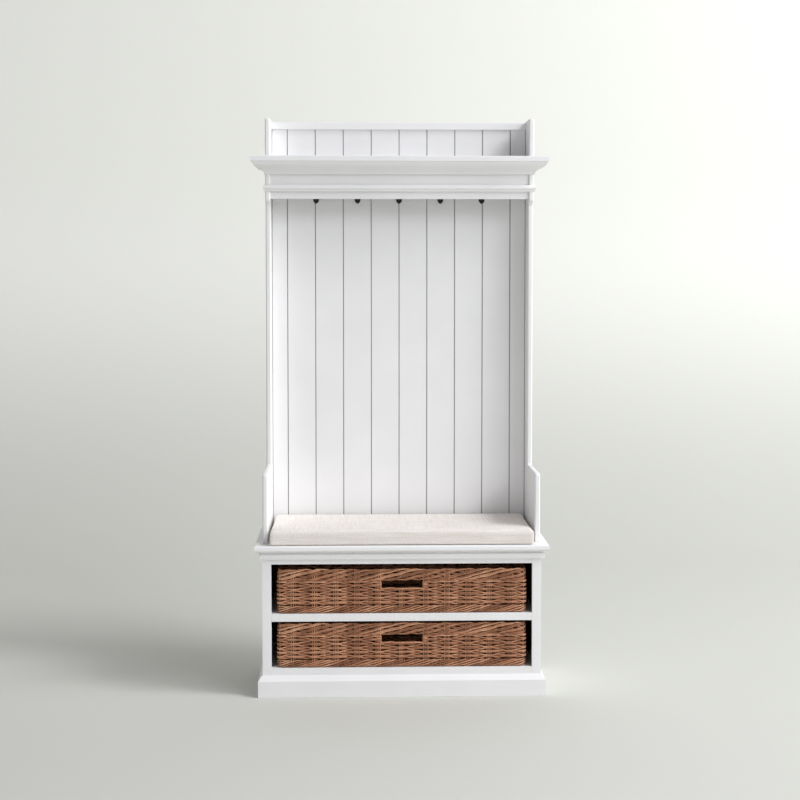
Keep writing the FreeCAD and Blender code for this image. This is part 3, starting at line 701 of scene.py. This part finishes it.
draw = random.Random(11)
each = [(row, pair, high) for row in range(ROWS) for pair in (0, 1) for high in (-1, 1)]
row_lines = [row_line(row, pair, high, draw) for row, pair, high in each]
weavers = canes("weavers", row_lines, CANE, 5)
print("weavers", len(row_lines), "canes,", len(weavers.data.polygons), "faces")

# %% Stand the stakes
STAKE = 1.9 * MM
STAKE_OUT = 0.8 * MM
STAKE_FOOT = 3 * MM
UNDER_RIM = 5 * MM
STAKE_PARTS = 5
stake_lines = []
for index, here in enumerate(groups):
    in_corner = any(abs(here - s) < MM for s in corner_places)
    top = HOLE_FOOT if index == 0 else RIM_TOP - UNDER_RIM
    rises = [STAKE_FOOT + (top - STAKE_FOOT) * i / STAKE_PARTS for i in range(STAKE_PARTS + 1)]
    for offset in (0,) if in_corner else (-STAKE_STEP, 0, STAKE_STEP):
        x, y = wall_point(here + offset, STAKE_OUT)
        stake_lines.append(([(x, y, FLOOR + rise) for rise in rises], False))
stakes = canes("stakes", stake_lines, STAKE, 6)
print("stakes", len(stake_lines))

# %% Bind the lower edge of the hand hole
EDGE_CANE = 2.2 * MM
EDGE_OUT = (-3.2 * MM, 5.0 * MM)
EDGE_FROM, EDGE_PAST = 1.5 * MM, 3 * MM
EDGE_PARTS = 8
TIE_OUT = 4.6 * MM
TIE_DOWN, TIE_LENGTH = 7 * MM, 7.5 * MM
TIE_PARTS = 3
edge_lines = []
for side in (-1, 1):
    for out in EDGE_OUT:
        start, end = side * EDGE_FROM, side * (HOLE_HALF + EDGE_PAST)
        run = [start + (end - start) * i / EDGE_PARTS for i in range(EDGE_PARTS + 1)]
        level = FLOOR + HOLE_FOOT - EDGE_CANE
        edge_lines.append(([(*wall_point(s, out), level) for s in run], False))
for s in (-HOLE_HALF, 0, HOLE_HALF):
    x, y = wall_point(s, TIE_OUT)
    level = FLOOR + HOLE_FOOT - TIE_DOWN
    rises = [TIE_LENGTH * i / TIE_PARTS for i in range(TIE_PARTS + 1)]
    edge_lines.append(([(x, y, level + rise) for rise in rises], False))
hole_edge = canes("hole_edge", edge_lines, EDGE_CANE, 7)
print("hand hole edge", len(edge_lines), "canes")

# %% Lay up the ropes of the rim and the foot
ROPE_STEP = 6.5 * MM
ROPE_TURN = 0.97
ROPE_FLAT = 2.4
ROPE_FILL = 0.95
BUNDLE_SHARE = 0.66
BUNDLE_ROUND = 0.35
BUNDLE_SLIP = 0.12
BUNDLE_REACH = 0.1
STRAND_SHIFT = 0.05


def rope(name, foot, top, bundles, strands, turns, cane, seed):
    """Bundles of canes that climb the outside of the wall and go down inside, round the basket."""
    draw = random.Random(seed)
    half_height = (top - foot) / 2 - cane * THICKEST
    half_depth = RIM_THICK / 2 - cane * THICKEST
    lines = []
    count = round(ROUND / ROPE_STEP)
    for bundle in range(bundles):
        slip = sway(draw, BUNDLE_SLIP)
        reach = sway(draw, BUNDLE_REACH)
        for strand in range(strands):
            from_middle = strand - (strands - 1) / 2
            start = math.tau * (bundle + from_middle * BUNDLE_SHARE / strands) / bundles
            start += draw.uniform(-STRAND_SHIFT, STRAND_SHIFT)
            outmost = 1 - BUNDLE_ROUND * abs(from_middle)
            points = []
            for i in range(count):
                s = ROUND * i / count
                angle = start + math.tau * turns * s / ROUND + slip(s)
                depth = half_depth * outmost * math.tanh(ROPE_FLAT * math.sin(angle))
                climb = math.asin(ROPE_TURN * math.cos(angle)) / math.asin(ROPE_TURN)
                fill = ROPE_FILL + min(1 - ROPE_FILL, reach(s))
                height = (foot + top) / 2 - half_height * fill * climb
                points.append((*wall_point(s, depth), FLOOR + height))
            lines.append((points, True))
    return canes(name, lines, cane, seed)


FOOT_TOP = 27.5 * MM
rim = rope("rim", RIM_FOOT, RIM_TOP, bundles=6, strands=2, turns=7, cane=2.35 * MM, seed=21)
foot = rope("foot", 0.0, FOOT_TOP, bundles=6, strands=1, turns=14, cane=2.5 * MM, seed=22)
print("rim", len(rim.data.polygons), "faces, foot", len(foot.data.polygons), "faces")

# %% Weave the base
BASE_STAKE_PITCH = 36 * MM
BASE_ROW = 5.9 * MM
BASE_CANE = 2.1 * MM
BASE_LEVEL = 4 * MM
BASE_WAVE = 1.75 * MM
BASE_WANDER = 0.3 * MM
BASE_STEP = 9 * MM
BASE_PARTS = 12
BASE_TURN = TURN - 4 * MM
HALF_LONG = FLAT_X + BASE_TURN
HALF_WIDE = FLAT_Y + BASE_TURN
base_lines = []
row_count = int(2 * HALF_WIDE / BASE_ROW)
draw = random.Random(31)
for row in range(row_count):
    y = (row - (row_count - 1) / 2) * BASE_ROW
    past = max(0.0, abs(y) - FLAT_Y)
    half = FLAT_X + math.sqrt(max(0.0, BASE_TURN**2 - past**2))
    wander = sway(draw, BASE_WANDER)
    count = round(2 * half / BASE_STEP)
    line = []
    for i in range(count + 1):
        x = -half + 2 * half * i / count
        wave = math.cos(math.pi * (x / BASE_STAKE_PITCH + row))
        line.append((x, MIDDLE_Y + y + wander(x), FLOOR + BASE_LEVEL + BASE_WAVE * wave))
    base_lines.append((line, False))
across = int(HALF_LONG / BASE_STAKE_PITCH)
for i in range(-across, across + 1):
    x = (i + 0.5) * BASE_STAKE_PITCH
    if abs(x) < FLAT_X:
        run = [MIDDLE_Y - HALF_WIDE + 2 * HALF_WIDE * k / BASE_PARTS for k in range(BASE_PARTS + 1)]
        base_lines.append(([(x, y, FLOOR + BASE_LEVEL) for y in run], False))
base = canes("base", base_lines, BASE_CANE, 32)
print("base", len(base.data.polygons), "faces")

# %% Join each basket's pieces, and copy the basket down a bay


def joined(name, parts):
    """The parts as one piece."""
    only(parts[0])
    for part in parts:
        part.select_set(True)
    bpy.ops.object.join()
    piece = bpy.context.object
    piece.name = name
    return piece


upper = {
    "walls": joined("woven_upper_walls", [weavers, stakes, hole_edge, foot]),
    "border": joined("woven_upper_rim", [rim]),
    "base": joined("woven_upper_base", [base]),
}
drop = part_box("basket_lower_walls")[0].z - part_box("basket_upper_walls")[0].z
for part, piece in upper.items():
    lower = bpy.data.objects.new(piece.name.replace("upper", "lower"), piece.data.copy())
    scene.collection.objects.link(lower)
    for vertex in lower.data.vertices:
        vertex.co.z += drop
    for woven, body in ((piece, "basket_upper"), (lower, "basket_lower")):
        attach(woven, body)
        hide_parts(body + "_" + part)
    print(piece.name, sum(len(p.vertices) - 2 for p in piece.data.polygons), "triangles")

# %% [markdown]
# ## The linen cushion
#
# The loose cushion is foam in a plain-woven linen cover, without piping. It is crowned on top,
# flat where it lies on the bench, and its sides pull in a little between the corners. A box a
# little smaller than its place is shaped, remeshed into even squares and blown up as cloth, and
# no point may move far. That gives the fabric's own tight curves at the edges.

# %% Weave the linen
THREAD = 1.6 * MM
SLUB = 1 / 0.005
SLUB_LONG = 1 / 0.09
linen, linen_shader = new_material("plain_woven_linen")
linen_place = add(linen, "TexCoord").outputs["Object"]
slubs = []
for way in (0, 1):
    stretch = [SLUB] * 3
    stretch[way] = SLUB_LONG
    drawn = add(linen, "Mapping", {"Vector": linen_place, "Scale": stretch}).outputs["Vector"]
    lumps = {"Vector": drawn, "Scale": 1.0, "Detail": 3.0}
    slubs.append(add(linen, "TexNoise", lumps).outputs["Fac"])
slub = add(linen, "Math", {0: slubs[0], 1: slubs[1]}, operation="ADD").outputs[0]
slub = add(linen, "Math", {0: slub, 1: 0.5}, operation="MULTIPLY").outputs[0]
creams = [(0.35, "#DFD7CF"), (0.65, "#F2EDE6")]
linen_tone = add(linen, "ValToRGB", {"Fac": slub}, stops=creams)
bands = 2 / THREAD / math.tau
yarn = {"Vector": linen_place, "Scale": bands, "Distortion": 0.6, "Detail": 1.0}
threads_x, threads_y, threads_z = (
    add(linen, "TexWave", yarn, bands_direction=way).outputs["Fac"] for way in ("X", "Y", "Z")
)
threads = add(linen, "Math", {0: threads_x, 1: threads_y}, operation="ADD").outputs[0]
threads = add(linen, "Math", {0: threads, 1: threads_z}, operation="ADD").outputs[0]
weave = add(linen, "Bump", {"Height": threads, "Strength": 0.22, "Distance": 0.3 * MM})
uneven = {"Height": slub, "Strength": 0.2, "Distance": 0.6 * MM}
slub_bump = add(linen, "Bump", uneven | {"Normal": weave.outputs["Normal"]})
link(linen, linen_tone.outputs["Color"], linen_shader.inputs["Base Color"])
link(linen, slub_bump.outputs["Normal"], linen_shader.inputs["Normal"])
linen_shader.inputs["Roughness"].default_value = 0.88
linen_shader.inputs["Sheen Weight"].default_value = 0.15
print("linen threads", THREAD * 1000, "mm apart")

# %% Shape the cushion
pad_low, pad_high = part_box("seat_cushion")
PAD_MARGIN = 1 * MM
PULL_IN = 2.5 * MM
CROWN = 1.5 * MM
PAD_VOXEL = 6.2 * MM
PAD_EDGE = 6.5 * MM
EDGE_STEPS = 6
size = [pad_high[i] - pad_low[i] - 2 * PAD_MARGIN for i in range(3)]
centre = [(pad_high[i] + pad_low[i]) / 2 for i in range(3)]
bpy.ops.object.select_all(action="DESELECT")
bpy.ops.mesh.primitive_cube_add(size=1, location=(0, 0, 0))
cushion = bpy.context.object
cushion.name = "linen_seat_cushion"
for vertex in cushion.data.vertices:
    for i in range(3):
        vertex.co[i] = centre[i] + vertex.co[i] * size[i]
rounding = cushion.modifiers.new("soft edges", "BEVEL")
rounding.width = PAD_EDGE
rounding.segments = EDGE_STEPS
bpy.ops.object.modifier_apply(modifier=rounding.name)
bpy.ops.object.mode_set(mode="EDIT")
bpy.ops.mesh.select_all(action="SELECT")
bpy.ops.mesh.quads_convert_to_tris()
bpy.ops.object.mode_set(mode="OBJECT")
remesh = cushion.modifiers.new("even squares", "REMESH")
remesh.mode = "VOXEL"
remesh.voxel_size = PAD_VOXEL
bpy.ops.object.modifier_apply(modifier=remesh.name)
for vertex in cushion.data.vertices:
    u = (vertex.co.x - centre[0]) / (size[0] / 2)
    v = (vertex.co.y - centre[1]) / (size[1] / 2)
    w = (vertex.co.z - centre[2]) / size[2] + 0.5
    vertex.co.x -= math.copysign(PULL_IN, u) * (1 - v * v) * u * u
    vertex.co.y -= math.copysign(PULL_IN, v) * (1 - u**4) * v * v
    vertex.co.z += CROWN * max(0, w) * (1 - u**6) * (1 - v**4)
print("cushion", len(cushion.data.vertices), "points")

# %% Blow it up as cloth
MOST_MOVE = 4 * MM
AIR_PRESSURE = 4
LAST_FRAME = 20
OFF_BENCH = 0.2 * MM
rest = [vertex.co.copy() for vertex in cushion.data.vertices]
only(cushion)
cloth = cushion.modifiers.new("cover", "CLOTH")
cloth.settings.use_pressure = True
cloth.settings.uniform_pressure_force = AIR_PRESSURE
cloth.settings.effector_weights.gravity = 0
scene.frame_start, scene.frame_end = 1, LAST_FRAME
for moment in range(1, LAST_FRAME + 1):
    scene.frame_set(moment)
bpy.ops.object.modifier_apply(modifier=cloth.name)
scene.frame_set(1)
for vertex, start in zip(cushion.data.vertices, rest):
    move = vertex.co - start
    if move.length > MOST_MOVE:
        vertex.co = start + move * (MOST_MOVE / move.length)
only(cushion)
smoothing = cushion.modifiers.new("finer cover", "SUBSURF")
smoothing.levels = smoothing.render_levels = 1
bpy.ops.object.modifier_apply(modifier=smoothing.name)
for vertex in cushion.data.vertices:
    vertex.co.z = max(vertex.co.z, pad_low.z + OFF_BENCH)
bpy.ops.object.shade_smooth()
cushion.data.materials.append(linen)
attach(cushion, "cushion")
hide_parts("seat_cushion")
heights = [vertex.co.z for vertex in cushion.data.vertices]
print("cushion from", round(min(heights), 4), "to", round(max(heights), 4), "m")
